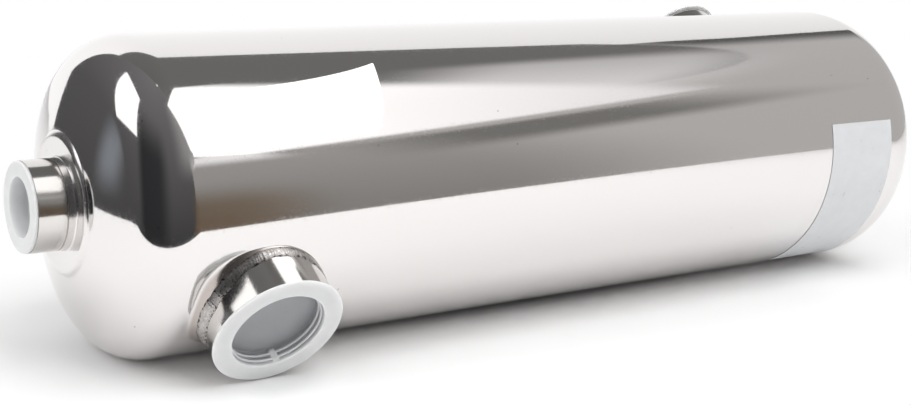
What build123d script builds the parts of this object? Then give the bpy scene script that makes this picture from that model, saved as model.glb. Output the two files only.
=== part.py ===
from build123d import *
import math
import os

# Shell and tube heat exchanger, all welded stainless steel, lying on a floor.
# X runs along the barrel, +Z is up, and the origin is on the floor under mid length.
# Each end has an axial socket for the tube side. Each flank has a socket for the shell
# side, the left one low at the front and the right one opposite it, high at the back.
# All four sockets are closed by plastic shipping plugs. Sizes are millimetres.

# Barrel
shell_od = 140.0
shell_wall = 1.5
barrel_length = 415.0

# Dished heads
crown_radius = 140.0
knuckle_radius = 24.5
boss_od = 62.0
boss_rise = 1.1
boss_rim_round = 4.5
boss_root_round = 0.8
boss_face_lean = 8.0
neck_length = 2.67
neck_root_round = 0.8

# Axial sockets, bored to the core of the thread
end_bore = 30.3
end_socket_wall = 4.35
end_socket_length = 12.0
end_weld_width = 0.7
end_weld_dip = 0.25

# Side sockets and the collars pulled out of the barrel wall
side_bore = 44.8
side_socket_wall = 5.1
side_socket_stand = 15.0
collar_step = 0.5
collar_blend = 4.0
collar_rise = 2.6
port_end_gap = 2.0
bead_width = 3.1
bead_thickness = 1.2
bead_round = 0.8
socket_bevel = 0.8

# Shipping plugs
end_flange_inset = 0.2
end_flange_thickness = 1.6
end_cup_depth = 8.0
end_plug_wall = 2.2
side_flange_overhang = 1.5
side_flange_thickness = 1.1
side_cup_depth = 8.0
side_plug_wall = 1.6
plug_floor = 1.6
plug_fit = 0.3
ridge_height = 0.6
ridge_width = 1.0
ridge_count = 2
rib_width = 3.0
side_rib_turn = 15.0
flange_round = 0.5

# Tube bundle
tube_od = 12.7
tube_wall = 0.7
tube_pitch = 18.0
tube_edge_gap = 2.0
tube_fit = 0.1
sheet_thickness = 4.0
sheet_fit = 0.2
baffle_count = 4
baffle_thickness = 1.5
baffle_fit = 0.4
baffle_rod_edge = 1.5
rod_od = 6.0
rod_wall_gap = 6.5
rod_tube_gap = 1.0

# How the barrel lies
rim_floor_gap = 0.3

# Barrel and head sizes that follow
shell_radius = shell_od / 2
bore_radius = shell_radius - shell_wall
half_length = barrel_length / 2
knuckle_centre = shell_radius - knuckle_radius
crown_span = crown_radius - knuckle_radius
crown_drop = math.sqrt(crown_span**2 - knuckle_centre**2)
crown_lean = math.asin(knuckle_centre / crown_span)
boss_foot = math.sqrt(crown_radius**2 - (boss_od / 2) ** 2) - crown_drop
boss_face = boss_foot + boss_rise
boss_rim_centre = boss_face - boss_rim_round
boss_rim_width = math.sqrt(boss_rim_round**2 - (boss_rim_round - boss_rise) ** 2)
boss_flat = boss_od / 2 - boss_rim_width
boss_lean_angle = math.radians(boss_face_lean)

# Axial sockets, measured from the weld line between barrel and head
end_socket_od = end_bore + 2 * end_socket_wall
boss_crest = boss_flat - boss_rim_round * math.sin(boss_lean_angle)
boss_crest_height = boss_rim_centre + boss_rim_round * math.cos(boss_lean_angle)
boss_fall = (boss_crest - end_socket_od / 2) * math.tan(boss_lean_angle)
neck_root = boss_crest_height - boss_fall
neck_end = boss_face + neck_length
end_socket_start = neck_end + end_weld_width
end_socket_face = end_socket_start + end_socket_length
end_flange_od = end_socket_od - 2 * end_flange_inset
end_plug_face = end_socket_face + end_flange_thickness

# Side sockets, measured from the barrel's axis
side_socket_od = side_bore + 2 * side_socket_wall
collar_od = side_socket_od + 2 * collar_step
rim_radius = shell_radius + collar_rise
side_port_offset = half_length - collar_od / 2 - collar_blend - port_end_gap
side_socket_face = shell_radius + side_socket_stand
side_flange_od = side_socket_od + 2 * side_flange_overhang
side_plug_face = side_socket_face + side_flange_thickness

# Tie rods lie in the gaps at the corners of the tube pattern.
rod_angles = (30, 150, 210, 330)
rod_radius = bore_radius - rod_wall_gap - rod_od / 2
rod_places = [
    (rod_radius * math.cos(math.radians(angle)), rod_radius * math.sin(math.radians(angle)))
    for angle in rod_angles
]
tube_limit = bore_radius - tube_edge_gap - tube_od / 2
tube_clear_of_rod = (tube_od + rod_od) / 2 + rod_tube_gap

# The barrel is rolled until the low side plug's rim is just clear of the floor.
rim_reach = math.hypot(side_plug_face, side_flange_od / 2)
rim_angle = math.atan2(side_flange_od / 2, side_plug_face)
port_dip = math.asin((shell_radius - rim_floor_gap) / rim_reach) - rim_angle

# Frames: Z of each port frame points out of the port.
lie = Pos(0, 0, shell_radius) * Rot(X=math.degrees(port_dip))
left_end = Plane(origin=(-half_length, 0, 0), x_dir=(0, 1, 0), z_dir=(-1, 0, 0)).location
left_side = Plane(origin=(-side_port_offset, 0, 0), x_dir=(1, 0, 0), z_dir=(0, -1, 0)).location
half_turn = Rot(Z=180)


def rod(diameter, start, end):
    """Cylinder on the local Z axis between two heights."""
    return Pos(0, 0, start) * Cylinder(
        diameter / 2, end - start, align=(Align.CENTER, Align.CENTER, Align.MIN)
    )


def pipe(outside, inside, start, end):
    """Ring on the local Z axis between two heights."""
    return rod(outside, start, end) - rod(inside, start, end)


def along_barrel(diameter, length):
    """Cylinder on the barrel's own axis, centred on mid length."""
    return Cylinder(diameter / 2, length, rotation=(0, 90, 0))


def branched_body(inset):
    """Barrel with a blended round branch on each flank, moved in by the inset."""
    body = along_barrel(shell_od - 2 * inset, barrel_length)
    branch = left_side * rod(collar_od - 2 * inset, 0, side_socket_face)
    body = body + branch + half_turn * branch
    saddles = body.edges().filter_by(GeomType.BSPLINE)
    return fillet(saddles, collar_blend + inset)


def shell_barrel():
    """Rolled tube whose wall is pulled out into a flared collar at each side port."""
    wall = branched_body(0) - branched_body(shell_wall)
    return wall & along_barrel(2 * rim_radius, barrel_length)


def dished_solid(inset):
    """Solid of revolution under the dished outline and boss, moved in by the inset."""
    outer = shell_radius - inset
    knuckle = knuckle_radius - inset
    crown = crown_radius - inset
    rim = boss_rim_round - inset

    def on_crown(lean):
        return (crown * math.sin(lean), crown * math.cos(lean) - crown_drop)

    knuckle_lean = (math.pi / 2 + crown_lean) / 2
    knuckle_middle = (
        knuckle_centre + knuckle * math.sin(knuckle_lean),
        knuckle * math.cos(knuckle_lean),
    )
    # The boss rim is an arc from the crown's arc over its crest to the sinking face.
    span = math.hypot(boss_flat, boss_rim_centre + crown_drop)
    lean_to_rim = math.atan2(boss_flat, boss_rim_centre + crown_drop)
    opening = math.acos((crown**2 + span**2 - rim**2) / (2 * crown * span))
    boss_lean = lean_to_rim + opening
    bend = on_crown(crown_lean)
    foot = on_crown(boss_lean)
    foot_lean = math.atan2(foot[0] - boss_flat, foot[1] - boss_rim_centre)

    def on_rim(lean):
        return (boss_flat + rim * math.sin(lean), boss_rim_centre + rim * math.cos(lean))

    crest = on_rim(-boss_lean_angle)
    middle = (0, crest[1] - crest[0] * math.tan(boss_lean_angle))
    outline = [
        Line((0, 0), (outer, 0)),
        ThreePointArc((outer, 0), knuckle_middle, bend),
        ThreePointArc(bend, on_crown((crown_lean + boss_lean) / 2), foot),
        ThreePointArc(foot, on_rim((foot_lean - boss_lean_angle) / 2), crest),
        Line(crest, middle),
        Line(middle, (0, 0)),
    ]
    return revolve(Plane.XZ * make_face(Curve() + outline), Axis.Z)


def circles_at(solid, diameter, height):
    """Circular edges of one diameter at one height of a turned solid."""
    found = []
    for edge in solid.edges().filter_by(GeomType.CIRCLE):
        same_size = abs(2 * edge.radius - diameter) < 0.01
        if same_size and abs(edge.center(CenterOf.MASS).Z - height) < 0.01:
            found.append(edge)
    return found


def dished_head():
    """Pressed head with a soft rimmed boss that sinks to a short pulled neck for the socket."""
    outside = dished_solid(0)
    outside = fillet(circles_at(outside, boss_od, boss_foot), boss_root_round)
    outside = outside + rod(end_socket_od, 0, neck_end)
    outside = fillet(circles_at(outside, end_socket_od, neck_root), neck_root_round)
    return outside - dished_solid(shell_wall) - rod(end_bore, 0, neck_end)


def bevelled_bore(socket, bore, height):
    """Break the inner edge at a socket's mouth."""
    return chamfer(circles_at(socket, bore, height), socket_bevel)


def end_weld():
    """Ring weld between the head's neck and the axial socket, ground a little below flush."""
    return pipe(end_socket_od - 2 * end_weld_dip, end_bore, neck_end, end_socket_start)


def end_socket():
    """Plain round socket, bored to the thread's core size."""
    socket = pipe(end_socket_od, end_bore, end_socket_start, end_socket_face)
    return bevelled_bore(socket, end_bore, end_socket_face)


def saddle_tool(radius):
    """Cylinder on the barrel's axis, as it lies in a side port's own frame."""
    return Cylinder(radius, 2 * collar_od, rotation=(0, 90, 0))


def side_socket():
    """Round socket with a fish mouth that sits on the collar's curved rim."""
    socket = pipe(side_socket_od, side_bore, shell_radius / 2, side_socket_face)
    socket = socket - saddle_tool(rim_radius)
    return bevelled_bore(socket, side_bore, side_socket_face)


def side_weld():
    """Bead that follows the saddle between the collar's rim and the side socket."""
    bead_od = side_socket_od + 2 * bead_thickness
    ring = pipe(bead_od, side_socket_od, shell_radius / 2, side_socket_face)
    bead = (ring & saddle_tool(rim_radius + bead_width)) - saddle_tool(rim_radius)
    outer_edges = []
    for edge in bead.edges():
        middle = edge.position_at(0.5)
        if 2 * math.hypot(middle.X, middle.Y) > side_socket_od + bead_thickness:
            outer_edges.append(edge)
    return fillet(outer_edges, bead_round)


def plug(flange_od, thickness, bore, wall, cup_depth, face):
    """Push-in cup with a flat flange, ring ridges on the cup wall and one pull rib."""
    body_od = bore - 2 * plug_fit
    cup_od = body_od - 2 * wall
    seat = face - thickness
    bottom = face - cup_depth
    solid = rod(flange_od, seat, face) + rod(body_od, bottom - plug_floor, face)
    solid = fillet(circles_at(solid, flange_od, face), flange_round)
    solid = solid - rod(cup_od, bottom, face)
    spacing = cup_depth / (ridge_count + 1)
    for number in range(ridge_count):
        foot = bottom + (number + 1) * spacing - ridge_width / 2
        solid = solid + pipe(cup_od, cup_od - 2 * ridge_height, foot, foot + ridge_width)
    rib = Pos(0, (ridge_height - cup_od) / 2, bottom) * Box(
        rib_width, ridge_height, seat - bottom, align=(Align.CENTER, Align.CENTER, Align.MIN)
    )
    return solid + (rib & rod(cup_od, bottom, seat))


def tube_rows():
    """Triangular pattern of tube centres inside the shell, row by row from the bottom."""
    row_step = tube_pitch * math.sin(math.radians(60))
    reach = int(tube_limit // row_step)
    most = int(tube_limit // tube_pitch) + 1
    rows = []
    for row in range(-reach, reach + 1):
        shift = tube_pitch / 2 if row % 2 else 0
        centres = []
        for place in range(-most, most + 1):
            centre = (place * tube_pitch + shift, row * row_step)
            clear = all(math.dist(centre, post) >= tube_clear_of_rod for post in rod_places)
            if clear and math.hypot(*centre) <= tube_limit:
                centres.append(centre)
        rows.append(centres)
    return rows


def spread(solid, centres):
    """Copies of a solid on the barrel's axis, moved to places in its cross-section."""
    return [Pos(0, across, up) * solid for across, up in centres]


def tube_row(centres):
    """One row of tubes, each running from the outer face of one sheet to the other."""
    tube = along_barrel(tube_od, barrel_length) - along_barrel(tube_od - 2 * tube_wall, barrel_length)
    return Compound(spread(tube, centres))


def drilled_disc(edge_fit, thickness, hole_fit):
    """Disc across the barrel's bore with a hole for every tube."""
    disc = along_barrel(2 * (bore_radius - edge_fit), thickness)
    drill = along_barrel(tube_od + 2 * hole_fit, thickness)
    for centres in tube_rows():
        disc = disc - spread(drill, centres)
    return disc


def tube_sheet():
    """Drilled disc that closes the barrel's end behind the head."""
    disc = drilled_disc(sheet_fit, sheet_thickness, tube_fit)
    return Pos(sheet_thickness / 2 - half_length, 0, 0) * disc


def baffle(number):
    """Segmental plate on the tie rods, open above and below by turns."""
    spacing = 2 * (side_port_offset - collar_od / 2) / (baffle_count + 1)
    disc = drilled_disc(baffle_fit, baffle_thickness, baffle_fit)
    disc = disc - spread(along_barrel(rod_od + 2 * tube_fit, baffle_thickness), rod_places)
    edge = max(up for across, up in rod_places) + rod_od / 2 + baffle_rod_edge
    window = Pos(0, 0, edge) * Box(
        baffle_thickness, shell_od, shell_od, align=(Align.CENTER, Align.CENTER, Align.MIN)
    )
    if number % 2:
        window = Rot(X=180) * window
    return Pos((number - (baffle_count - 1) / 2) * spacing, 0, 0) * (disc - window)


def all_parts():
    """Every node of the exchanger, before it is rolled to the way it lies."""
    end_plug = plug(
        end_flange_od, end_flange_thickness, end_bore, end_plug_wall, end_cup_depth, end_plug_face
    )
    side_plug = plug(
        side_flange_od, side_flange_thickness, side_bore, side_plug_wall, side_cup_depth, side_plug_face
    )
    left_half = {
        "head": left_end * dished_head(),
        "end_weld": left_end * end_weld(),
        "end_socket": left_end * end_socket(),
        "end_plug": left_end * end_plug,
        "side_socket": left_side * side_socket(),
        "side_weld": left_side * side_weld(),
        "side_plug": left_side * Rot(Z=side_rib_turn) * side_plug,
        "tube_sheet": tube_sheet(),
    }
    parts = {"shell_barrel": shell_barrel()}
    for name, solid in left_half.items():
        parts["left_" + name] = solid
        parts["right_" + name] = half_turn * solid
    for number, centres in enumerate(tube_rows(), start=1):
        parts[f"tube_row_{number}"] = tube_row(centres)
    for number in range(baffle_count):
        parts[f"baffle_{number + 1}"] = baffle(number)
    tie_rod = along_barrel(rod_od, barrel_length - 2 * sheet_thickness)
    for number, solid in enumerate(spread(tie_rod, rod_places), start=1):
        parts[f"tie_rod_{number}"] = solid
    return parts


os.makedirs("parts", exist_ok=True)
for name, solid in all_parts().items():
    export_step(lie * solid, f"parts/{name}.step")
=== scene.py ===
# %% [markdown]
# Shell and tube heat exchanger, dressed for a picture.
# The solid model already has every form in its true place, in metres. Here it gets its
# polished steel, its weld beads, its moulded plugs and its film, and a small photo studio.

# %% Load the solid model as a fixed frame
import math

import bmesh
import bpy
from mathutils import Matrix, Vector


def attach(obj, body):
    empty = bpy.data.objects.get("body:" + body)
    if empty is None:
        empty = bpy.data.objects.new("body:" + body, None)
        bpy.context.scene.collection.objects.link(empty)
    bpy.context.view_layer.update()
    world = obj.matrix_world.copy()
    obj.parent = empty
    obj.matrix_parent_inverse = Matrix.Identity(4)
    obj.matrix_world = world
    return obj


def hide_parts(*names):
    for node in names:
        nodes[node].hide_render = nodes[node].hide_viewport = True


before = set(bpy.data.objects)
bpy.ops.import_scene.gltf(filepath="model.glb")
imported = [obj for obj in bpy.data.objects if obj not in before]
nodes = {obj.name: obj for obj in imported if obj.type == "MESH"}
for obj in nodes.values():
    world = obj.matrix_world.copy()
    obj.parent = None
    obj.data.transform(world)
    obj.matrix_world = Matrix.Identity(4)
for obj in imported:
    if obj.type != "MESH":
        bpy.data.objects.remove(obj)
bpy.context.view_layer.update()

scene = bpy.context.scene
MM = 0.001
print("solid nodes:", len(nodes))

# %% [markdown]
# Three helpers carry the whole lesson. Colours are written as the hex values a paint program
# shows, so one function turns them into the linear values a renderer works in. Every shader
# node is added by a second one, with its settings and its links together, and a third starts
# an empty material.

# %% Helpers for colours and nodes
def linear(hex_code):
    """An sRGB hex colour as linear red, green, blue and alpha."""
    parts = [int(hex_code[i:i + 2], 16) / 255 for i in (1, 3, 5)]
    return [c / 12.92 if c <= 0.04045 else ((c + 0.055) / 1.055) ** 2.4 for c in parts] + [1.0]


def add(tree, kind, inputs=None, **settings):
    """Adds one node. settings are its options, inputs are values or sockets to link."""
    node = tree.nodes.new(kind)
    for name, value in settings.items():
        setattr(node, name, value)
    for name, value in (inputs or {}).items():
        if isinstance(value, bpy.types.NodeSocket):
            tree.links.new(value, node.inputs[name])
        else:
            node.inputs[name].default_value = value
    return node


def blank_material(name):
    """A new material with an empty node tree."""
    material = bpy.data.materials.new(name)
    material.use_nodes = True
    material.node_tree.nodes.clear()
    return material, material.node_tree


print("helpers ready")

# %% [markdown]
# The camera stands where the photograph was taken from: about three quarters of a metre from
# the object's middle, looking down a little past the left end. Its place, turn and focal length
# were worked out from the outline of the barrel, the heads and the sockets, with pixels turned
# into a lens in millimetres for a 36 mm wide sensor.

# %% Camera
IMAGE_WIDTH = 911
SENSOR_WIDTH = 36.0
FOCAL_PIXELS = 1501.05
VIEW_AZIMUTH = 0.5927
VIEW_ELEVATION = 0.1996
VIEW_ROLL = 0.0340
CAMERA_PLACE = Vector((-458.22, -590.13, 209.90)) * MM
SHIFT_PIXELS = (42.55, -24.81)

forward = Vector((math.sin(VIEW_AZIMUTH) * math.cos(VIEW_ELEVATION),
                  math.cos(VIEW_AZIMUTH) * math.cos(VIEW_ELEVATION),
                  -math.sin(VIEW_ELEVATION)))
level_right = Vector((math.cos(VIEW_AZIMUTH), -math.sin(VIEW_AZIMUTH), 0.0))
level_up = level_right.cross(forward)
right = math.cos(VIEW_ROLL) * level_right + math.sin(VIEW_ROLL) * level_up
up = math.cos(VIEW_ROLL) * level_up - math.sin(VIEW_ROLL) * level_right

camera_data = bpy.data.cameras.new("photo_camera")
camera_data.sensor_fit = "HORIZONTAL"
camera_data.sensor_width = SENSOR_WIDTH
camera_data.lens = FOCAL_PIXELS * SENSOR_WIDTH / IMAGE_WIDTH
camera_data.shift_x = SHIFT_PIXELS[0] / IMAGE_WIDTH
camera_data.shift_y = SHIFT_PIXELS[1] / IMAGE_WIDTH
camera = bpy.data.objects.new("photo_camera", camera_data)
turn = Matrix((right, up, -forward)).transposed().to_4x4()
camera.matrix_world = Matrix.Translation(CAMERA_PLACE) @ turn
scene.collection.objects.link(camera)
scene.camera = camera
scene.view_settings.view_transform = "Standard"
print("lens", round(camera_data.lens, 1), "mm")

# %% [markdown]
# A mirror finish has no look of its own: it shows the room. The world is white for the
# camera and for reflections, and a weaker white for soft light. Cards hang far away round
# the object, as a photographer's walls, backdrop and softboxes do, and only reflections see
# them. Each card is given by its corners as azimuth, elevation and tone. A real softbox has no
# hard border in a buffed surface, so each end of a card may fade away over a share of it.

# %% World and studio cards
world = bpy.data.worlds.new("white_studio")
scene.world = world
world.use_nodes = True
sky = world.node_tree
sky.nodes.clear()
path = add(sky, "ShaderNodeLightPath")
direct = add(sky, "ShaderNodeMath", {0: path.outputs["Is Camera Ray"], 1: path.outputs["Is Glossy Ray"]},
             operation="MAXIMUM")
seen = add(sky, "ShaderNodeMath", {0: direct.outputs[0], 1: path.outputs["Is Transmission Ray"]},
           operation="MAXIMUM")
fill = add(sky, "ShaderNodeBackground", {"Color": linear("#FFFFFF"), "Strength": 0.5})
white = add(sky, "ShaderNodeBackground", {"Color": linear("#FFFFFF"), "Strength": 1.0})
both = add(sky, "ShaderNodeMixShader", {0: seen.outputs[0], 1: fill.outputs[0], 2: white.outputs[0]})
add(sky, "ShaderNodeOutputWorld", {"Surface": both.outputs[0]})


def direction(azimuth, elevation):
    """A unit vector: azimuth in degrees from +Y toward +X, elevation above level."""
    a, e = math.radians(azimuth), math.radians(elevation)
    return Vector((math.sin(a) * math.cos(e), math.cos(a) * math.cos(e), math.sin(e)))


def between(corners, s, t):
    """Blends four corner values over a square, s along and t up."""
    low = corners[0] * (1 - s) + corners[1] * s
    high = corners[3] * (1 - s) + corners[2] * s
    return low * (1 - t) + high * t


def smooth(x):
    """An S curve that rises from 0 to 1."""
    x = min(1.0, max(0.0, x))
    return x * x * (3 - 2 * x)


def fill_grid(mesh, rows):
    """Fills a grid of points with quads."""
    for one, two in zip(rows, rows[1:]):
        for k in range(len(one) - 1):
            mesh.faces.new((one[k], one[k + 1], two[k + 1], two[k]))


CARD_STEPS = 32


def card(name, corners, distance, strength=1.0, bowed=False, soft=(0, 0, 0, 0)):
    """A card that only reflections see. corners are (azimuth, elevation, hex), two low, then two high.

    soft is the share of the card over which its first end, last end, foot and top fade away.
    """
    angles = [Vector(corner[:2]) for corner in corners]
    places = [direction(*angle) * distance for angle in angles]
    tones = [Vector(linear(corner[2])) for corner in corners]
    mesh = bmesh.new()
    tone_layer = mesh.verts.layers.float_color.new("tone")
    rows = []
    for i in range(CARD_STEPS + 1):
        row = []
        for j in range(CARD_STEPS + 1):
            s, t = j / CARD_STEPS, i / CARD_STEPS
            place = direction(*between(angles, s, t)) * distance if bowed else between(places, s, t)
            edges = zip((s, 1 - s, t, 1 - t), soft)
            shown = math.prod(smooth(room / share) for room, share in edges if share)
            vert = mesh.verts.new(place)
            vert[tone_layer] = [*between(tones, s, t)[:3], shown]
            row.append(vert)
        rows.append(row)
    fill_grid(mesh, rows)
    data = bpy.data.meshes.new(name)
    mesh.to_mesh(data)
    mesh.free()
    piece = bpy.data.objects.new(name, data)
    scene.collection.objects.link(piece)
    material, tree = blank_material(name)
    tone = add(tree, "ShaderNodeAttribute", attribute_name="tone")
    glow = add(tree, "ShaderNodeEmission", {"Color": tone.outputs["Color"], "Strength": strength})
    clear = add(tree, "ShaderNodeBsdfTransparent")
    blend = add(tree, "ShaderNodeMixShader", {0: tone.outputs["Alpha"], 1: clear.outputs[0],
                                              2: glow.outputs[0]})
    add(tree, "ShaderNodeOutputMaterial", {"Surface": blend.outputs[0]})
    data.materials.append(material)
    for flag in ("visible_camera", "visible_diffuse", "visible_shadow", "visible_volume_scatter"):
        setattr(piece, flag, False)


card("card_dark_room", [(160, -60, "#161617"), (345, -60, "#1A1A1B"), (345, 89, "#7A797A"),
                        (160, 89, "#747374")], 6.0, bowed=True)
card("card_dark_door", [(204, -38, "#2E2E30"), (270, -38, "#2A2A2C"), (270, 60, "#343436"),
                        (204, 60, "#3A3A3C")], 5.9, bowed=True, soft=(0.4, 0.2, 0.15, 0.35))
card("card_blue_window", [(291, -7, "#858A90"), (310, -7, "#858A90"), (310, 17, "#858A90"),
                          (291, 17, "#858A90")], 5.8, soft=(0.45, 0.45, 0.45, 0.45))
card("card_grey_wall", [(66, -60, "#BDBCBB"), (162, -60, "#B8B7B5"), (162, 46, "#B8B7B5"),
                        (66, 46, "#C0BFBE")], 6.0, bowed=True)
card("card_grey_corner", [(132, -24, "#83817E"), (163, -24, "#7A7875"), (163, 38, "#A6A5A3"),
                          (134, 38, "#A6A5A3")], 5.85, bowed=True, soft=(0.4, 0.0, 0.0, 0.12))
card("card_ceiling", [(-20, 44, "#6E6D6C"), (160, 44, "#7A7978"), (160, 89, "#6E6D6C"),
                      (-20, 89, "#6A6968")], 5.9, bowed=True)
card("card_backdrop", [(-21, -30, "#FFFFFF"), (70, -30, "#F2F2F2"), (67, 41.5, "#E6E6E6"),
                       (-15, 49, "#FFFFFF")], 5.5, 1.14)
card("card_backdrop_pole", [(65.5, 29, "#5E5D5C"), (79, 29, "#5E5D5C"), (79, 46, "#5E5D5C"),
                            (65, 46, "#5E5D5C")], 5.45, soft=(0.1, 0.75, 0.2, 0.25))
card("card_brown_door", [(150, -25, "#6E5C48"), (167, -25, "#5C4C3E"), (167, 18, "#5E5448"),
                         (151, 18, "#8A8075")], 5.7, soft=(0.3, 0.1, 0.0, 0.4))
card("card_softbox_haze", [(146, 16, "#A3A2A1"), (202, 16, "#6C6C6C"), (206, 76, "#7A7A7A"),
                           (150, 76, "#A6A5A4")], 5.6, soft=(0.1, 0.6, 0.35, 0.2))
card("card_softbox_spill", [(74, 39, "#B6B5B4"), (128, 36, "#F4F4F4"), (118, 60, "#F4F4F4"),
                            (76, 59, "#B2B1B0")], 5.4, soft=(0.25, 0.0, 0.3, 0.4))
card("card_softbox_frame", [(113, 30, "#7C7B79"), (148, 18, "#787775"), (148, 31, "#787775"),
                            (115, 38, "#7C7B79")], 5.3, soft=(0.45, 0.3, 0.45, 0.15))
card("card_softbox_front", [(114, 38.5, "#BFBFBF"), (156, 29, "#FFFFFF"), (181, 73, "#FFFFFF"),
                            (84, 66, "#FFFFFF")], 5.0, 1.5, soft=(0.14, 0.08, 0.03, 0.03))
card("card_softbox_corner", [(149, 27, "#FFFFFF"), (168, 23, "#E0E0E0"), (168, 44, "#E0E0E0"),
                             (149, 42, "#FFFFFF")], 4.9, soft=(0.1, 0.55, 0.3, 0.1))
card("card_softbox_left", [(298, 19, "#FFFFFF"), (266, 29, "#FFFFFF"), (270, 58, "#FFFFFF"),
                           (317, 58, "#FFFFFF")], 5.0, 1.5, soft=(0.04, 0.04, 0.04, 0.04))
print("cards hung")

# %% [markdown]
# The object lies on a white table top that stands askew to it. Reflections end at its front
# and left edge, where the room begins. For the camera it fades into the white background
# away from the object, and close to the object it keeps the real soft shadow. Right under the
# barrel the board is painted greyer, in place of the light that the narrow gap keeps out.
# Soft lamps stand where the softboxes are, with a weak one behind and one low in front. The
# cards already give their reflections, so the lamps don't show in the steel. Only a very small
# lamp beside the near port does, for a second highlight on its socket.

# %% Table top and lamps
# Distances from the object's middle, in metres, after a stretch that makes round zones long.
FADE_STRETCH, FADE_FROM, FADE_TO = (0.55, 1.0, 0.0), 0.12, 0.27
STRIP_STRETCH, STRIP_FROM, STRIP_TO = (0.13, 1.0, 0.0), 0.002, 0.026
NEAR_PORT = (-0.173, -0.081, 0.053)
TABLE_OUTLINE = [(-0.575, -0.027, 0.0), (2.6, -1.93, 0.0), (2.6, 2.6, 0.0), (-0.575, 2.6, 0.0)]
data = bpy.data.meshes.new("table_top")
data.from_pydata(TABLE_OUTLINE, [], [(0, 1, 2, 3)])
table = bpy.data.objects.new("table_top", data)
scene.collection.objects.link(table)
material, tree = blank_material("white_laminate_table")
path = add(tree, "ShaderNodeLightPath")
place = add(tree, "ShaderNodeNewGeometry")
flat = add(tree, "ShaderNodeVectorMath", {0: place.outputs["Position"], 1: FADE_STRETCH},
           operation="MULTIPLY")
away = add(tree, "ShaderNodeVectorMath", {0: flat.outputs[0]}, operation="LENGTH")
far = add(tree, "ShaderNodeMapRange", {"Value": away.outputs["Value"], "From Min": FADE_FROM,
                                       "From Max": FADE_TO}, interpolation_type="SMOOTHSTEP")
amount = add(tree, "ShaderNodeMath", {0: far.outputs[0], 1: path.outputs["Is Camera Ray"]},
             operation="MULTIPLY")
strip = add(tree, "ShaderNodeVectorMath", {0: place.outputs["Position"], 1: STRIP_STRETCH},
            operation="MULTIPLY")
off = add(tree, "ShaderNodeVectorMath", {0: strip.outputs[0]}, operation="LENGTH")
open_sky = add(tree, "ShaderNodeMapRange", {"Value": off.outputs["Value"], "From Min": STRIP_FROM,
                                            "From Max": STRIP_TO})
tone = add(tree, "ShaderNodeMix", {0: open_sky.outputs[0], 6: linear("#767676"), 7: linear("#F6F6F6")},
           data_type="RGBA")
paint = add(tree, "ShaderNodeBsdfDiffuse", {"Color": tone.outputs[2]})
glow = add(tree, "ShaderNodeEmission", {"Color": linear("#FFFFFF"), "Strength": 1.0})
blend = add(tree, "ShaderNodeMixShader", {0: amount.outputs[0], 1: paint.outputs[0], 2: glow.outputs[0]})
add(tree, "ShaderNodeOutputMaterial", {"Surface": blend.outputs[0]})
data.materials.append(material)


def softbox(name, azimuth, elevation, distance, size, power, target=(0, 0, 0), reflected=False):
    """A square soft lamp aimed at a target. Only reflected ones show in the steel."""
    lamp_data = bpy.data.lights.new(name, "AREA")
    lamp_data.size = size
    lamp_data.energy = power
    lamp = bpy.data.objects.new(name, lamp_data)
    aim = direction(azimuth, elevation)
    place = Matrix.Translation(Vector(target) + aim * distance)
    lamp.matrix_world = place @ aim.to_track_quat("Z", "Y").to_matrix().to_4x4()
    lamp.visible_camera = False
    lamp.visible_glossy = reflected
    scene.collection.objects.link(lamp)


softbox("softbox_front", 165, 60, 2.0, 1.6, 24.0)
softbox("softbox_left", 265, 40, 2.0, 1.6, 15.0)
softbox("softbox_back", 30, 50, 2.0, 1.6, 4.0)
softbox("softbox_low", 208, 9, 1.2, 0.8, 0.7)
softbox("port_lamp", 77, 62, 0.1, 0.055, 0.0143, NEAR_PORT, reflected=True)
print("table and lamps ready")

# %% [markdown]
# The barrel and heads are 316L stainless sheet, ground and then buffed with a soft wheel to a
# mirror. Buffing leaves tiny marks that the eye sees as a haze round bright reflections: a
# fine speckle and long streaks, the way the wheel ran, lift the roughness of some spots, and
# most of the surface stays mirror sharp. Where a hand grinder dressed the collars and the boss
# the wheel could not follow, so points there carry a mark that makes them satin. On the
# barrel's collars the colour is painted a faint brownish grey: painted shade, standing in for
# the shaded floor that these bends reflect. A few specks of dust lie on the steel. The sheet
# is a little wavy, so a very low bump with 45 mm waves bends the reflections slightly.

# %% Mirror polished stainless
# Real buffing marks are several times finer; these are as coarse as they need to be to show.
BUFF_MARK = 0.8 * MM
WHEEL_STREAK = 1.5 * MM
DUST_CELL = 14 * MM
SHEET_WAVE = 45 * MM
mirror_steel, tree = blank_material("mirror_buffed_stainless_316L")
place = add(tree, "ShaderNodeTexCoord")
speckle = add(tree, "ShaderNodeTexNoise", {"Vector": place.outputs["Object"], "Scale": 1 / BUFF_MARK,
                                           "Detail": 3.0, "Roughness": 0.7})
haze = add(tree, "ShaderNodeMapRange", {"Value": speckle.outputs[0], "From Min": 0.52, "From Max": 0.72,
                                        "To Min": 0.02, "To Max": 0.15})
lay = add(tree, "ShaderNodeMapping", {"Vector": place.outputs["Object"], "Scale": (0.05, 1.0, 1.0)})
streak = add(tree, "ShaderNodeTexNoise", {"Vector": lay.outputs[0], "Scale": 1 / WHEEL_STREAK,
                                          "Detail": 2.0})
buffed = add(tree, "ShaderNodeMath", {0: streak.outputs[0], 1: 0.05, 2: haze.outputs[0]},
             operation="MULTIPLY_ADD")
dressed = add(tree, "ShaderNodeAttribute", attribute_name="satin")
rough = add(tree, "ShaderNodeMath", {0: dressed.outputs["Fac"], 1: 0.13, 2: buffed.outputs[0]},
            operation="MULTIPLY_ADD")
dust = add(tree, "ShaderNodeTexVoronoi", {"Vector": place.outputs["Object"], "Scale": 1 / DUST_CELL})
clean = add(tree, "ShaderNodeMapRange", {"Value": dust.outputs["Distance"], "From Min": 0.015,
                                         "From Max": 0.03})
# Painted shade: on the collars the colour goes toward a brownish grey, for the shaded floor they reflect.
collar_shade = add(tree, "ShaderNodeAttribute", attribute_name="painted_collar_shade")
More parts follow.
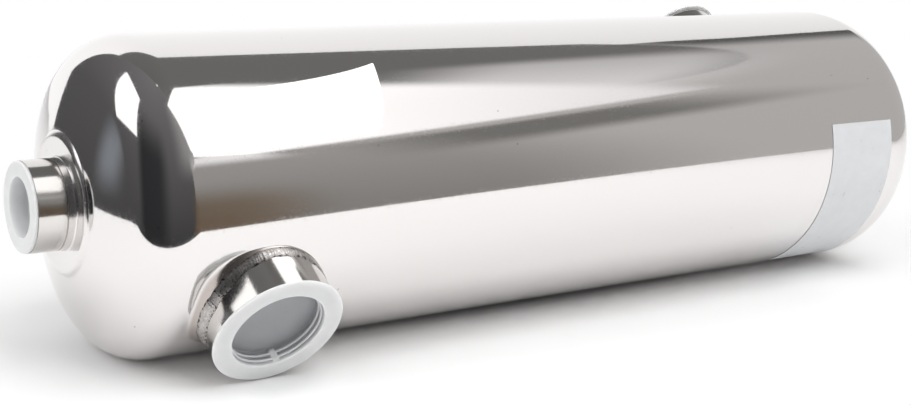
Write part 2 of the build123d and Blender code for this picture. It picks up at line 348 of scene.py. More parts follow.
bright = add(tree, "ShaderNodeMix", {0: collar_shade.outputs["Fac"], 6: linear("#E8E5E4"), 7: linear("#BDB4AF")},
             data_type="RGBA")
colour = add(tree, "ShaderNodeMix", {0: clean.outputs[0], 6: linear("#7B736D"), 7: bright.outputs[2]},
             data_type="RGBA")
wave = add(tree, "ShaderNodeTexNoise", {"Vector": place.outputs["Object"], "Scale": 1 / SHEET_WAVE,
                                        "Detail": 1.0})
dents = add(tree, "ShaderNodeBump", {"Height": wave.outputs[0], "Strength": 1.0, "Distance": 0.03 * MM})
steel = add(tree, "ShaderNodeBsdfPrincipled", {"Base Color": colour.outputs[2], "Metallic": 1.0,
                                               "Roughness": rough.outputs[0], "Normal": dents.outputs[0]})
add(tree, "ShaderNodeOutputMaterial", {"Surface": steel.outputs[0]})
print("mirror steel ready")

# %% [markdown]
# Everything that shows here is a turned or pressed round thing, so most pieces are skins over
# rings of points. A ring is one loop of points, and neighbouring rings are joined by quads.
# When the last ring also joins the first, the piece is a closed solid.

# %% Rings, profiles and skins
AXIS_HEIGHT = 70 * MM
BARREL_RADIUS = 70 * MM
BARREL_HALF = 207.5 * MM
PORT_X = -173.5 * MM
PORT_DIP = math.radians(31.4865)
SHARP_FROM = math.radians(40)
SAME_POINT = 0.0001 * MM


def new_piece(name, mesh, material, slot, *stands_for):
    """Turns a bmesh into a smooth piece that rides on the object."""
    bmesh.ops.remove_doubles(mesh, verts=mesh.verts, dist=SAME_POINT)
    bmesh.ops.recalc_face_normals(mesh, faces=mesh.faces)
    for face in mesh.faces:
        face.smooth = True
    for edge in mesh.edges:
        edge.smooth = len(edge.link_faces) == 2 and edge.calc_face_angle(0.0) < SHARP_FROM
    data = bpy.data.meshes.new(name)
    mesh.to_mesh(data)
    mesh.free()
    data.materials.append(material)
    piece = bpy.data.objects.new(name, data)
    scene.collection.objects.link(piece)
    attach(piece, "root")
    if stands_for:
        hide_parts(*stands_for)
    print(name, len(data.polygons), "faces")
    return piece


def join(mesh, one, two):
    """Fills the band between two loops of points with quads."""
    for k in range(len(one)):
        n = (k + 1) % len(one)
        mesh.faces.new((one[k], one[n], two[n], two[k]))


def skin(rings, closed):
    """A bmesh over rings of points; closed joins the last ring to the first."""
    mesh = bmesh.new()
    loops = [[mesh.verts.new(point) for point in ring] for ring in rings]
    pairs = list(zip(loops, loops[1:]))
    if closed:
        pairs.append((loops[-1], loops[0]))
    for one, two in pairs:
        join(mesh, one, two)
    return mesh


def mark(mesh, name, value):
    """Gives every point a number for a shader to read; value is a function of the point's place."""
    layer = mesh.verts.layers.float.new(name)
    for vert in mesh.verts:
        vert[layer] = value(vert.co)


def arc(centre, radius, start, end, steps):
    """Points (along, out) on an arc, angles in degrees from the along direction."""
    points = []
    for k in range(steps + 1):
        a = math.radians(start + (end - start) * k / steps)
        points.append((centre[0] + radius * math.cos(a), centre[1] + radius * math.sin(a)))
    return points


def rounded(corners, steps=6):
    """A closed profile from corners (along, out, round), each corner cut by an arc."""
    points = []
    for k, (along, out, size) in enumerate(corners):
        corner = Vector((along, out))
        if size == 0:
            points.append((along, out))
            continue
        before = (Vector(corners[k - 1][:2]) - corner).normalized()
        after = (Vector(corners[(k + 1) % len(corners)][:2]) - corner).normalized()
        half = before.angle(after) / 2
        start = corner + before * size / math.tan(half)
        end = corner + after * size / math.tan(half)
        centre = corner + (before + after).normalized() * size / math.sin(half)
        for step in range(steps + 1):
            leg = (start - centre).lerp(end - centre, step / steps).normalized() * size
            points.append(tuple(centre + leg))
    return points


END_FRAMES = {"left": Matrix.Translation((0, 0, AXIS_HEIGHT)) @ Matrix.Rotation(math.pi, 4, "Z"),
              "right": Matrix.Translation((0, 0, AXIS_HEIGHT))}


def turned(frame_matrix, profile, segments=192):
    """Rings of a profile (along, out), turned about the X axis of a frame."""
    rings = []
    for along, out in profile:
        ring = []
        for k in range(segments):
            a = math.tau * k / segments
            ring.append(frame_matrix @ Vector((along, out * math.cos(a), out * math.sin(a))))
        rings.append(ring)
    return rings


print("ring tools ready")

# %% [markdown]
# A head is a round plate, spun over a former: a shallow crown, a tight knuckle that runs into
# the barrel, and a pressed boss that sinks to a short neck pulled out for the socket. It is
# turned from one closed profile of arcs that run into each other, outside and inside, with
# many steps in the knuckle and the rim because a mirror shows every flat.

# %% Dished heads
CROWN, KNUCKLE, SHEET = 140 * MM, 24.5 * MM, 1.5 * MM
KNUCKLE_OUT = BARREL_RADIUS - KNUCKLE
CROWN_BACK = math.sqrt((CROWN - KNUCKLE) ** 2 - KNUCKLE_OUT ** 2)
LEAN = math.degrees(math.asin(KNUCKLE_OUT / (CROWN - KNUCKLE)))
BOSS_FACE, BOSS_FLAT, BOSS_RIM, BOSS_ROOT = 31.76 * MM, 27.96 * MM, 4.0 * MM, 0.5 * MM
NECK_RADIUS, NECK_END, NECK_ROOT, BORE = 19.5 * MM, 34.13 * MM, 0.8 * MM, 15.15 * MM
BOSS_EDGE = 32.5 * MM
FACE_LEAN = 8.0
INNER_CROWN_FROM = 12
BOSS_SATIN_FADE = 1.0 * MM


def off_axis(point):
    """How far a point is from the barrel's axis."""
    return math.hypot(point.y, point.z - AXIS_HEIGHT)


def bearing(start, end):
    """The direction from one point to another, in degrees from the along direction."""
    return math.degrees(math.atan2(end[1] - start[1], end[0] - start[0]))


def head_profile():
    """The closed outline of a head, from the tangent line of the barrel outward."""
    crown_centre, rim_centre = (-CROWN_BACK, 0.0), (BOSS_FACE - BOSS_RIM, BOSS_FLAT)
    to_rim = math.dist(crown_centre, rim_centre)
    far, near = CROWN + BOSS_ROOT, BOSS_RIM + BOSS_ROOT
    opening = math.degrees(math.acos((far ** 2 + to_rim ** 2 - near ** 2) / (2 * far * to_rim)))
    foot = bearing(crown_centre, rim_centre) + opening
    root_centre = arc(crown_centre, far, foot, foot, steps=1)[0]
    rim_end = bearing(rim_centre, root_centre)
    outside = arc((0, KNUCKLE_OUT), KNUCKLE, 90, LEAN, steps=40)
    outside += arc(crown_centre, CROWN, LEAN, foot, steps=24)[1:]
    outside += arc(root_centre, BOSS_ROOT, foot + 180, rim_end + 180, steps=8)[1:]
    outside += arc(rim_centre, BOSS_RIM, rim_end, -FACE_LEAN, steps=24)[1:]
    crest, slope = outside[-1], math.tan(math.radians(FACE_LEAN))
    round_out = NECK_RADIUS + NECK_ROOT
    round_along = crest[0] - slope * (crest[1] - round_out)
    round_along += NECK_ROOT / math.cos(math.radians(FACE_LEAN))
    outside += arc((round_along, round_out), NECK_ROOT, 180 - FACE_LEAN, 270, steps=10)
    outside += [(NECK_END, NECK_RADIUS), (NECK_END, BORE)]
    inner_crown = arc(crown_centre, CROWN - SHEET, INNER_CROWN_FROM, LEAN, steps=16)
    inner_knuckle = arc((0, KNUCKLE_OUT), KNUCKLE - SHEET, LEAN, 90, steps=16)[1:]
    inside_crest = crest[0] - SHEET
    inside = [(inside_crest - slope * (crest[1] - BORE), BORE), (inside_crest, crest[1])]
    inside += inner_crown + inner_knuckle
    return [(BARREL_HALF + along, out) for along, out in outside + inside]


for side, frame_matrix in END_FRAMES.items():
    mesh = skin(turned(frame_matrix, head_profile()), closed=True)
    mark(mesh, "satin", lambda co: smooth((BOSS_EDGE - off_axis(co)) / BOSS_SATIN_FADE))
    new_piece(f"{side}_head_spun", mesh, mirror_steel, "polished_stainless", f"{side}_head")

# %% [markdown]
# The barrel is rolled sheet. At each side port a collar is pulled out of the wall: the sheet
# leaves the barrel in a bend and rises in a flank to the socket. The flank is wide toward the
# head, where it ends just short of the seam, and steep on the other sides. The skin is a plain
# grid of rings, with a window left open at each port. In the window, lines run from the
# window's frame to the foot and up the flank, so no edge crosses the highlight. A Solidify
# modifier gives the sheet its thickness inward.

# %% Barrel with pulled collars
RIM_RADIUS = 72.6 * MM
FOOT_RADIUS, FOOT_FLARE, FOOT_LIMIT = 28.2 * MM, 10.5 * MM, 33.6 * MM
LIP_RADIUS, LIP_FLARE = 27.6 * MM, 2.0 * MM
FOOT_BLEND, LEAST_HEADWARD = 16, 0.1
SATIN_RISE, COLLAR_SHADE_RISE = 0.3 * MM, 0.6 * MM
PATCH_STEPS, FLANK_STEPS = 4, 12
ROWS, MIDDLE_COLUMNS = 240, 32
WINDOW_ROWS, WINDOW_COLUMNS = 20, 24
WINDOW_END = -137.5 * MM


def on_barrel(x, angle, radius=BARREL_RADIUS):
    """A point at x and at an angle above the front of the barrel."""
    return Vector((x, -radius * math.cos(angle), AXIS_HEIGHT + radius * math.sin(angle)))


def flank_point(turn_angle, share):
    """A point on the collar from foot (0) to lip (1), in the port's frame: x, up the wall and out."""
    c, s = math.cos(turn_angle), math.sin(turn_angle)
    headward = max(0.0, -c)
    flared = FOOT_RADIUS + FOOT_FLARE * headward ** 2
    limit = FOOT_LIMIT / max(headward, LEAST_HEADWARD)
    foot = (flared ** -FOOT_BLEND + limit ** -FOOT_BLEND) ** (-1 / FOOT_BLEND)
    radius = foot + (LIP_RADIUS + LIP_FLARE * headward ** 4 - foot) * share
    reach = BARREL_RADIUS + (RIM_RADIUS - BARREL_RADIUS) * share ** 2
    return Vector((radius * c, radius * s, math.sqrt(reach ** 2 - (radius * s) ** 2)))


def port_place(point, mirrored):
    """From a port's own frame (x, up the wall, out) to the object's frame."""
    flip = -1 if mirrored else 1
    up = Vector((0, -math.sin(PORT_DIP), math.cos(PORT_DIP)))
    out = Vector((0, -math.cos(PORT_DIP), -math.sin(PORT_DIP)))
    return Vector((flip * (PORT_X + point.x), 0, AXIS_HEIGHT)) + up * point.y + flip * out * point.z


window_width = WINDOW_END + BARREL_HALF
columns = [-BARREL_HALF + window_width * k / WINDOW_COLUMNS for k in range(WINDOW_COLUMNS + 1)]
middle_columns = [WINDOW_END - 2 * WINDOW_END * k / MIDDLE_COLUMNS for k in range(1, MIDDLE_COLUMNS)]
columns = columns + middle_columns + [-x for x in reversed(columns)]
step_angle = math.tau / ROWS
mesh = bmesh.new()
grid = []
for x in columns:
    grid.append([mesh.verts.new(on_barrel(x, -PORT_DIP + j * step_angle)) for j in range(ROWS)])
last = len(columns) - 1
for i in range(last):
    for j in range(ROWS):
        near = i < WINDOW_COLUMNS and (j + WINDOW_ROWS) % ROWS < 2 * WINDOW_ROWS
        far = i >= last - WINDOW_COLUMNS and (j + WINDOW_ROWS + ROWS // 2) % ROWS < 2 * WINDOW_ROWS
        if near or far:
            continue
        n = (j + 1) % ROWS
        mesh.faces.new((grid[i][j], grid[i][n], grid[i + 1][n], grid[i + 1][j]))

for mirrored in (False, True):
    first = ROWS // 2 if mirrored else 0
    frame_steps = [(k, -WINDOW_ROWS) for k in range(WINDOW_COLUMNS)]
    frame_steps += [(WINDOW_COLUMNS, k) for k in range(-WINDOW_ROWS, WINDOW_ROWS)]
    frame_steps += [(WINDOW_COLUMNS - k, WINDOW_ROWS) for k in range(WINDOW_COLUMNS)]
    frame_steps += [(0, WINDOW_ROWS - k) for k in range(2 * WINDOW_ROWS)]
    rings = [[] for _ in range(PATCH_STEPS + FLANK_STEPS)]
    outer = []
    for column, row in frame_steps:
        x, angle = columns[column] - PORT_X, row * step_angle
        turn_angle = math.atan2(BARREL_RADIUS * math.sin(angle), x)
        foot = flank_point(turn_angle, 0.0)
        foot_angle = math.asin(foot.y / BARREL_RADIUS)
        for k in range(PATCH_STEPS):
            share = (k + 1) / PATCH_STEPS
            at, angle_at = x + (foot.x - x) * share, angle + (foot_angle - angle) * share
            point = Vector((at, BARREL_RADIUS * math.sin(angle_at), BARREL_RADIUS * math.cos(angle_at)))
            rings[k].append(port_place(point, mirrored))
        for k in range(FLANK_STEPS):
            point = flank_point(turn_angle, (k + 1) / FLANK_STEPS)
            rings[PATCH_STEPS + k].append(port_place(point, mirrored))
        place = (last - column, first - row) if mirrored else (column, row)
        outer.append(grid[place[0]][place[1] % ROWS])
    loops = [outer] + [[mesh.verts.new(point) for point in ring] for ring in rings]
    for one, two in zip(loops, loops[1:]):
        join(mesh, one, two)
loose = [vert for vert in mesh.verts if not vert.link_faces]
bmesh.ops.delete(mesh, geom=loose, context="VERTS")
mark(mesh, "satin", lambda co: smooth((off_axis(co) - BARREL_RADIUS) / SATIN_RISE))
# The collars are marked for a painted shade, a darker brownish grey in the steel's colour.
mark(mesh, "painted_collar_shade", lambda co: smooth((off_axis(co) - BARREL_RADIUS) / COLLAR_SHADE_RISE))
barrel = new_piece("barrel_rolled", mesh, mirror_steel, "polished_stainless", "shell_barrel")
wall = barrel.modifiers.new("sheet", "SOLIDIFY")
wall.thickness = SHEET
wall.offset = -1.0

# %% [markdown]
# The sockets are turned from stainless bar and polished on the lathe to a satin that still
# mirrors: a fine noise changes the roughness a little from spot to spot, and the same noise is
# a very low bump. The ring welds are ground by hand, so they are rougher. Inside, drawn tube
# has marks stretched along its length and rolled plate has marks along the rolls.

# %% Turned, drawn and rolled stainless
def plain_steel(name, colour, low, high, grain, stretch, depth):
    """A bare steel of roughness low to high, with grain of a size, a stretch and a bump's depth."""
    material, tree = blank_material(name)
    place = add(tree, "ShaderNodeTexCoord")
    along = add(tree, "ShaderNodeMapping", {"Vector": place.outputs["Object"], "Scale": stretch})
    marks = add(tree, "ShaderNodeTexNoise", {"Vector": along.outputs[0], "Scale": 1 / grain,
                                             "Detail": 3.0})
    rough = add(tree, "ShaderNodeMapRange", {"Value": marks.outputs[0], "From Min": 0.35, "From Max": 0.7,
                                             "To Min": low, "To Max": high})
    lines = add(tree, "ShaderNodeBump", {"Height": marks.outputs[0], "Distance": depth})
    steel = add(tree, "ShaderNodeBsdfPrincipled", {
        "Base Color": linear(colour), "Metallic": 1.0, "Roughness": rough.outputs[0],
        "Normal": lines.outputs[0]})
    add(tree, "ShaderNodeOutputMaterial", {"Surface": steel.outputs[0]})
    return material


EVEN, ALONG_TUBE, ALONG_ROLLS = (1.0, 1.0, 1.0), (0.05, 1.0, 1.0), (1.0, 0.2, 1.0)
socket_steel = plain_steel("turned_satin_stainless_bar", "#DDDAD7", 0.09, 0.18,
                           0.6 * MM, EVEN, 0.004 * MM)
ground_steel = plain_steel("ground_weld_stainless", "#B9B3AD", 0.22, 0.40,
                           0.5 * MM, EVEN, 0.02 * MM)
tube_steel = plain_steel("drawn_stainless_tube", "#C9C5C0", 0.20, 0.32,
                         0.7 * MM, ALONG_TUBE, 0.01 * MM)
plate_steel = plain_steel("rolled_stainless_plate", "#C2BEB9", 0.28, 0.42,
                          1.2 * MM, ALONG_ROLLS, 0.01 * MM)
print("plain steels ready")

# %% [markdown]
# A side socket stands on the collar's curved rim, so its foot is cut to a saddle, a fish
# mouth. A ring of the foot lies where the pipe's wall meets a cylinder round the barrel's
# axis. The same rule, with the cylinder's radius as a value, places the weld bead.

# %% Side sockets
SOCKET_RADIUS, SOCKET_BORE, SOCKET_FACE = 27.5 * MM, 22.4 * MM, 85.0 * MM
SOCKET_BEVEL = 0.5 * MM


def saddle_out(radius, turn_angle, reach):
    """How far out a pipe's wall meets a cylinder of that reach round the barrel's axis."""
    return math.sqrt(reach ** 2 - (radius * math.sin(turn_angle)) ** 2)


def port_ring(radius, out, mirrored, segments=240):
    """A ring round a side port. radius and out are values or functions of the turn angle."""
    ring = []
    for k in range(segments):
        a = math.tau * k / segments
        r = radius(a) if callable(radius) else radius
        o = out(a) if callable(out) else out
        ring.append(port_place(Vector((r * math.cos(a), r * math.sin(a), o)), mirrored))
    return ring


def foot_outside(turn_angle):
    """The outer edge of a socket's fish mouth."""
    return saddle_out(SOCKET_RADIUS, turn_angle, RIM_RADIUS)


def foot_inside(turn_angle):
    """The inner edge of a socket's fish mouth."""
    return saddle_out(SOCKET_BORE, turn_angle, RIM_RADIUS)


SIDES = {"left": False, "right": True}
for side, mirrored in SIDES.items():
    rings = [port_ring(SOCKET_RADIUS, foot_outside, mirrored),
             port_ring(SOCKET_RADIUS, SOCKET_FACE - SOCKET_BEVEL, mirrored),
             port_ring(SOCKET_RADIUS - SOCKET_BEVEL, SOCKET_FACE, mirrored),
             port_ring(SOCKET_BORE + SOCKET_BEVEL, SOCKET_FACE, mirrored),
             port_ring(SOCKET_BORE, SOCKET_FACE - SOCKET_BEVEL, mirrored),
             port_ring(SOCKET_BORE, foot_inside, mirrored)]
    new_piece(f"{side}_side_socket_turned", skin(rings, closed=True), socket_steel, "socket_stainless",
              f"{side}_side_socket")

# %% [markdown]
# The bead was laid by hand with a torch into the corner between the collar and the socket. The
# heat leaves a dark, broken oxide line along both edges while the middle stays pale, with
# patches of brown and small pits. Each ring of points carries its place across the bead as a
# mark, so the shader can find the edges.

# %% Heat tinted weld
WELD_PATCH, WELD_PIT = 1.4 * MM, 0.5 * MM
weld_steel, tree = blank_material("heat_tinted_torch_weld")
place = add(tree, "ShaderNodeTexCoord")
patch = add(tree, "ShaderNodeTexNoise", {"Vector": place.outputs["Object"], "Scale": 1 / WELD_PATCH,
                                         "Detail": 5.0, "Roughness": 0.65})
pale = add(tree, "ShaderNodeMix", {0: patch.outputs[0], 6: linear("#5A514B"), 7: linear("#FAF7F5")},
           data_type="RGBA")
across = add(tree, "ShaderNodeAttribute", attribute_name="edge")
broken = add(tree, "ShaderNodeMath", {0: patch.outputs[0], 1: 3.6, 2: across.outputs["Fac"]},
             operation="MULTIPLY_ADD")
oxide = add(tree, "ShaderNodeMapRange", {"Value": broken.outputs[0], "From Min": 2.55, "From Max": 2.95})
tint = add(tree, "ShaderNodeMix", {0: oxide.outputs[0], 6: pale.outputs[2], 7: linear("#453A33")},
           data_type="RGBA")
rough = add(tree, "ShaderNodeMapRange", {"Value": patch.outputs[0], "From Min": 0.35, "From Max": 0.65,
                                         "To Min": 0.42, "To Max": 0.18})
pits = add(tree, "ShaderNodeTexNoise", {"Vector": place.outputs["Object"], "Scale": 1 / WELD_PIT,
                                        "Detail": 2.0})
grit = add(tree, "ShaderNodeBump", {"Height": pits.outputs[0], "Distance": 0.12 * MM})
metal = add(tree, "ShaderNodeBsdfPrincipled", {"Base Color": tint.outputs[2], "Metallic": 1.0,
                                               "Roughness": rough.outputs[0], "Normal": grit.outputs[0]})
add(tree, "ShaderNodeOutputMaterial", {"Surface": metal.outputs[0]})
print("weld steel ready")

# %% [markdown]
# The bead's form is real geometry, because its ripples and its wandering edges catch the light.
# Puddles about 1.3 mm apart leave low ripples. Each point lies between the bead's edge on the
# collar and its edge on the socket, and bulges out by the bead's height. Sums of sine waves make
# both edges wander, and two buried rings close the bead inside the corner.

# %% Weld beads of the side sockets
RIPPLE, RIPPLE_HEIGHT, RIPPLE_BOW = 1.3 * MM, 0.04 * MM, 1.8
BEAD_TOP, BEAD_PROUD, BEAD_BURIED = 76.2 * MM, 0.45 * MM, 0.9 * MM
BEAD_LAP, BEAD_SPREAD, BEAD_FALL = 0.12, 0.4, 1.3 * MM
BEAD_SEGMENTS, BEAD_SECTION, BEAD_ROUND = 720, 14, 0.7
FIRST_PHASE, STRAY_SHARE = 0.8, 0.15
# Each wave is its size, its count in one turn, and how much of the phase shifts it.
TOP_WANDER = ((0.22, 5, 1.0), (0.17, 13, 2.0), (0.12, 29, 0.0))
FOOT_STRAY = ((0.20, 4, 1.7), (0.16, 11, 0.0), (0.12, 31, 1.0))
SWELL, FIXED_SWELL = ((0.15, 7, 1.0),), ((0.12, 17, 1.0),)
RIPPLE_DRIFT = ((2.5, 9, 0.0), (1.7, 23, 0.0))


def waves(kinds, turn_angle, phase):
    """The sum of waves round a bead at a turn angle."""
    return sum(size * math.sin(count * turn_angle + shift * phase) for size, count, shift in kinds)


def bead_rings(mirrored, phase):
    """Rings of the bead, from its edge on the collar to its edge on the socket, then two buried ones."""
    ripples = round(math.tau * SOCKET_RADIUS / RIPPLE)
    rings = [[] for _ in range(BEAD_SECTION + 3)]
    for n in range(BEAD_SEGMENTS):
        a = math.tau * n / BEAD_SEGMENTS
        away = 1 - max(0.0, -math.cos(a))
        low_share = 1 - BEAD_LAP - BEAD_SPREAD * away - STRAY_SHARE * waves(FOOT_STRAY, a, phase)
        low = flank_point(a, low_share)
        low_out, low_radius = low.z, math.hypot(low.x, low.y)
        a_low = math.atan2(low.y, low.x)
        reach = BEAD_TOP - BEAD_FALL * away + waves(TOP_WANDER, a, phase) * MM
        high_out = saddle_out(SOCKET_RADIUS, a, reach)
        fall, rise = low_radius - SOCKET_RADIUS, high_out - low_out
        size = math.hypot(fall, rise)
        swell = 1 + waves(SWELL, a, phase) + waves(FIXED_SWELL, a, 1.0)
        for k in range(BEAD_SECTION + 1):
            share = k / BEAD_SECTION
            bulge = math.sin(math.pi * share)
            bow = RIPPLE_BOW * bulge + waves(RIPPLE_DRIFT, a, 0.0)
            height = BEAD_PROUD * swell + RIPPLE_HEIGHT * math.sin(ripples * a + bow)
            proud = height * bulge ** BEAD_ROUND
            radius = low_radius - fall * share + proud * rise / size
            out = low_out + rise * share + proud * fall / size
            turn_at = a_low + math.remainder(a - a_low, math.tau) * share
            place = Vector((radius * math.cos(turn_at), radius * math.sin(turn_at), out))
            rings[k].append(port_place(place, mirrored))
        deep = SOCKET_RADIUS - BEAD_BURIED
        for k, out in ((1, high_out - BEAD_BURIED), (2, low_out - BEAD_BURIED)):
            place = Vector((deep * math.cos(a), deep * math.sin(a), out))
            rings[BEAD_SECTION + k].append(port_place(place, mirrored))
    return rings


for phase, (side, mirrored) in enumerate(SIDES.items()):
    mesh = skin(bead_rings(mirrored, FIRST_PHASE + phase), closed=True)
    edge_layer = mesh.verts.layers.float.new("edge")
    for number, vert in enumerate(mesh.verts):
        share = min(1.0, number // BEAD_SEGMENTS / BEAD_SECTION)
        vert[edge_layer] = abs(2 * share - 1)
    new_piece(f"{side}_side_weld_rippled", mesh, weld_steel, "weld_bead", f"{side}_side_weld")

# %% [markdown]
# The plugs are thin low density polyethylene, injection moulded: milky, soft and a little
# waxy. Light goes in and comes out again some millimetres away, so the shader uses subsurface
# scattering, with a slow noise for the uneven milkiness and a fine bump for the mould's skin.
# The cup is thinner than the flange and has no steel behind it, so it lets the dark inside of
# the socket show through: the rings of the cup carry a mark that raises the transmission. The
# same mark paints the cup a darker blue grey, a painted shade for the dark inside behind it.

# %% Moulded polyethylene
MILK_CLOUD, MOULD_GRAIN, SCATTER = 9 * MM, 1.2 * MM, 3 * MM
plug_plastic, tree = blank_material("moulded_low_density_polyethylene")
place = add(tree, "ShaderNodeTexCoord")
milk = add(tree, "ShaderNodeTexNoise", {"Vector": place.outputs["Object"], "Scale": 1 / MILK_CLOUD,
                                        "Detail": 2.0})
thick = add(tree, "ShaderNodeMix", {0: milk.outputs[0], 6: linear("#ECEDEE"), 7: linear("#F6F7F7")},
            data_type="RGBA")
# This mark raises the transmission and also paints the cup darker blue grey: painted shade for the dark
# socket behind it.
thin_and_shaded = add(tree, "ShaderNodeAttribute", attribute_name="thin_and_shaded")
tone = add(tree, "ShaderNodeMix", {0: thin_and_shaded.outputs["Fac"], 6: thick.outputs[2], 7: linear("#C9CBCE")},
           data_type="RGBA")
through = add(tree, "ShaderNodeMapRange", {"Value": thin_and_shaded.outputs["Fac"], "To Min": 0.12, "To Max": 0.5})
satin = add(tree, "ShaderNodeMapRange", {"Value": milk.outputs[0], "To Min": 0.28, "To Max": 0.42})
peel = add(tree, "ShaderNodeTexNoise", {"Vector": place.outputs["Object"], "Scale": 1 / MOULD_GRAIN,
                                        "Detail": 1.0})
bump = add(tree, "ShaderNodeBump", {"Height": peel.outputs[0], "Distance": 0.02 * MM})
plastic = add(tree, "ShaderNodeBsdfPrincipled", {
    "Base Color": tone.outputs[2], "Roughness": satin.outputs[0], "IOR": 1.51, "Subsurface Weight": 0.8,
    "Subsurface Radius": (SCATTER, SCATTER, SCATTER), "Subsurface Scale": 1.0,
    "Transmission Weight": through.outputs[0], "Normal": bump.outputs[0]})
add(tree, "ShaderNodeOutputMaterial", {"Surface": plastic.outputs[0]})
print("plastic ready")

# %% [markdown]
# A plug is a cup with a wide flange. In a side plug two ring ridges run round the cup's wall and
# one rib crosses them at the bottom, for pulling it out. The end plugs are smooth. A plug is
# turned from one closed profile, and the rib is a place where the cup's wall steps inward.

# %% Shipping plugs
RIDGE, RIDGE_HALF, RIDGE_ROUND, RIDGE_POINTS = 0.8 * MM, 0.6 * MM, 0.7, 8
RIB_HALF, RIB_SLOPE, RIB_TOP = 1.5 * MM, 0.8 * MM, 1.2 * MM
RIB_TURN = math.radians(-75)
CUP_DEPTH, CUP_FLOOR, CUP_ROUND = 8 * MM, 1.6 * MM, 0.8 * MM
SEAT_ROUND, FLANGE_ROUND = 0.4 * MM, 0.6 * MM
MOUTH_DEPTH, MOUTH_REACH = 1.0 * MM, 0.7 * MM
WALL_BAND, THIN_BAND, FLOOR_BAND, STEP_SEEN = 0.85 * MM, 0.3 * MM, 0.9 * MM, 0.2 * MM
SIDE_PLUG = {"flange": 29 * MM, "thickness": 1.1 * MM, "body": 22.1 * MM, "cup": 20.5 * MM,
             "face": 86.1 * MM, "ridges": (2, 1)}
END_PLUG = {"flange": 19.3 * MM, "thickness": 1.6 * MM, "body": 14.85 * MM, "cup": 12.65 * MM,
            "face": 48.43 * MM, "ridges": ()}
# How strongly each plug's cup is marked, both for transmission and for painted shade.
SIDE_THIN_AND_SHADE, END_THIN_AND_SHADE = 1.0, 0.4


def plug_profile(flange, thickness, body, cup, face, ridges):
    """A closed profile (out, radius) of a plug from its axis, with ridges on the cup's wall."""
    seat, bottom = face - thickness, face - CUP_DEPTH
    wall = []
    for number in ridges:
        middle = bottom + number * CUP_DEPTH / 3
        for k in range(RIDGE_POINTS + 1):
            s = math.pi * k / RIDGE_POINTS
            wall.append((middle + RIDGE_HALF * math.cos(s), cup - RIDGE * math.sin(s) ** RIDGE_ROUND))
    shape = rounded([(bottom - CUP_FLOOR, body, CUP_ROUND), (seat, body, 0), (seat, flange, SEAT_ROUND),
                     (face, flange, FLANGE_ROUND), (face, cup, FLANGE_ROUND), (bottom, cup, CUP_ROUND),
                     (bottom, 0, 0), (bottom - CUP_FLOOR, 0, 0)])
    mouth = [k for k, (out, radius) in enumerate(shape)
             if out > face - MOUTH_DEPTH and radius < cup + MOUTH_REACH]
    cut = max(mouth) + 1
    return shape[:cut] + wall + shape[cut:]


def with_rib(radius, out, cup, face):
    """The cup wall's radius round the plug, stepped inward at the rib."""
    if abs(radius - cup) > WALL_BAND or out > face - RIB_TOP:
        return lambda a: radius

    def stepped(a):
        off = cup * abs(math.remainder(a - RIB_TURN, math.tau))
        share = min(1.0, max(0.0, (RIB_HALF + RIB_SLOPE / 2 - off) / RIB_SLOPE))
        return min(radius, cup - RIDGE * share)
    return stepped


def mark_cup(mesh, profile, cup, face, thin_and_shade):
    """Marks the thinner wall and floor of a plug's cup for transmission and painted shade; ridges and rib
    are thick.
    """
    layer = mesh.verts.layers.float.new("thin_and_shaded")
    segments = len(mesh.verts) // len(profile)
    for number, vert in enumerate(mesh.verts):
        out, radius = profile[number // segments]
        a = math.tau * (number % segments) / segments
        wall = with_rib(radius, out, cup, face)(a)
        thick = out > face - CUP_DEPTH + FLOOR_BAND and wall < cup - STEP_SEEN
        inside = radius < cup + THIN_BAND and out < face - MOUTH_DEPTH
        vert[layer] = thin_and_shade if inside and not thick else 0.0
    return mesh


cup, face = SIDE_PLUG["cup"], SIDE_PLUG["face"]
for side, mirrored in SIDES.items():
    profile = plug_profile(**SIDE_PLUG)
    rings = [port_ring(with_rib(r, o, cup, face), o, mirrored, segments=360) for o, r in profile]
    mesh = mark_cup(skin(rings, closed=True), profile, cup, face, SIDE_THIN_AND_SHADE)
    new_piece(f"{side}_side_plug_moulded", mesh, plug_plastic, "plug_plastic", f"{side}_side_plug")

cup, face = END_PLUG["cup"], END_PLUG["face"]
for side, frame_matrix in END_FRAMES.items():
    profile = plug_profile(**END_PLUG)
    rings = turned(frame_matrix, [(BARREL_HALF + o, r) for o, r in profile])
    mesh = mark_cup(skin(rings, closed=True), profile, cup, face, END_THIN_AND_SHADE)
    new_piece(f"{side}_end_plug_moulded", mesh, plug_plastic, "plug_plastic", f"{side}_end_plug")

# %% [markdown]
# A bare polyester film is wrapped on the front of the barrel near the right end. It is a grid
# laid 0.15 mm off the steel that lifts by a hair along its edges, and a Solidify modifier gives
# it body. The film is satin, and the glue under it shows as a faint mottle.

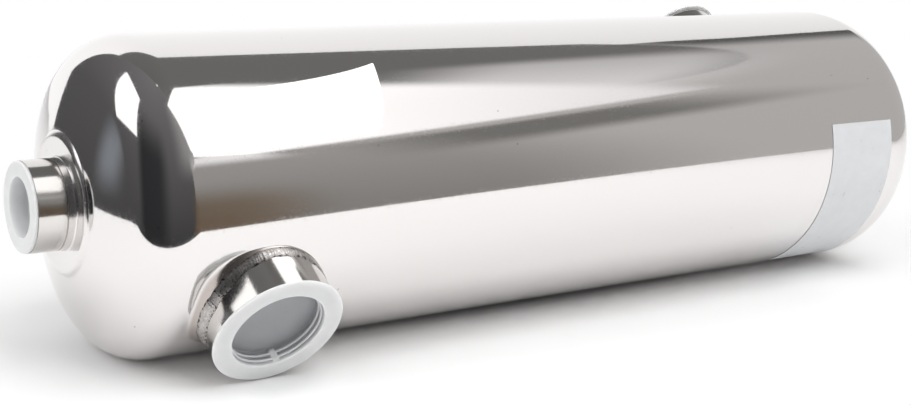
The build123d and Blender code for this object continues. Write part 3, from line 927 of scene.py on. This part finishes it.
# %% Wrapped film
FILM_WIDTH, FILM_WRAP, FILM_BODY = 46 * MM, 95 * MM, 0.1 * MM
FILM_LEFT, FILM_TOP, FILM_LOW = 157 * MM, 15.6, -62.0
FILM_GAP, FILM_CURL, FILM_MARGIN = 0.15 * MM, 0.10 * MM, 2.5 * MM
FILM_ACROSS, FILM_DOWN = 40, 72
GLUE_MOTTLE = 6 * MM
film, tree = blank_material("satin_polyester_film")
place = add(tree, "ShaderNodeTexCoord")
glue = add(tree, "ShaderNodeTexNoise", {"Vector": place.outputs["Object"], "Scale": 1 / GLUE_MOTTLE,
                                        "Detail": 3.0})
tone = add(tree, "ShaderNodeMix", {0: glue.outputs[0], 6: linear("#CDCFD2"), 7: linear("#DADBDD")},
           data_type="RGBA")
satin = add(tree, "ShaderNodeMapRange", {"Value": glue.outputs[0], "To Min": 0.24, "To Max": 0.36})
bump = add(tree, "ShaderNodeBump", {"Height": glue.outputs[0], "Distance": 0.03 * MM})
plastic = add(tree, "ShaderNodeBsdfPrincipled", {
    "Base Color": tone.outputs[2], "Roughness": satin.outputs[0], "IOR": 1.57, "Normal": bump.outputs[0]})
add(tree, "ShaderNodeOutputMaterial", {"Surface": plastic.outputs[0]})
mesh = bmesh.new()
rows = []
for j in range(FILM_DOWN + 1):
    row = []
    for i in range(FILM_ACROSS + 1):
        s, t = i / FILM_ACROSS, j / FILM_DOWN
        edge = min(min(s, 1 - s) * FILM_WIDTH, min(t, 1 - t) * FILM_WRAP)
        lift = FILM_GAP + FILM_CURL * max(0.0, 1 - edge / FILM_MARGIN) ** 2
        angle = math.radians(FILM_TOP + (FILM_LOW - FILM_TOP) * t)
        row.append(mesh.verts.new(on_barrel(FILM_LEFT + FILM_WIDTH * s, angle, BARREL_RADIUS + lift)))
    rows.append(row)
fill_grid(mesh, rows)
sheet = new_piece("wrapped_film", mesh, film, "plug_plastic")
body = sheet.modifiers.new("body", "SOLIDIFY")
body.thickness = FILM_BODY
body.offset = -1.0

# %% [markdown]
# The solid nodes that no piece stands for, and the ones behind a piece, get the finish of the
# part they belong to. The first word of the list that is found in a node's name decides.

# %% Finishes of the solid nodes
FINISHES = [("plug", plug_plastic), ("side_weld", weld_steel), ("weld", ground_steel),
            ("socket", socket_steel), ("tube_sheet", plate_steel), ("baffle", plate_steel),
            ("tie_rod", plate_steel), ("tube", tube_steel), ("", mirror_steel)]
for name, node in nodes.items():
    node.data.materials.clear()
    node.data.materials.append(next(finish for word, finish in FINISHES if word in name))
print("finishes given to", len(nodes), "nodes")
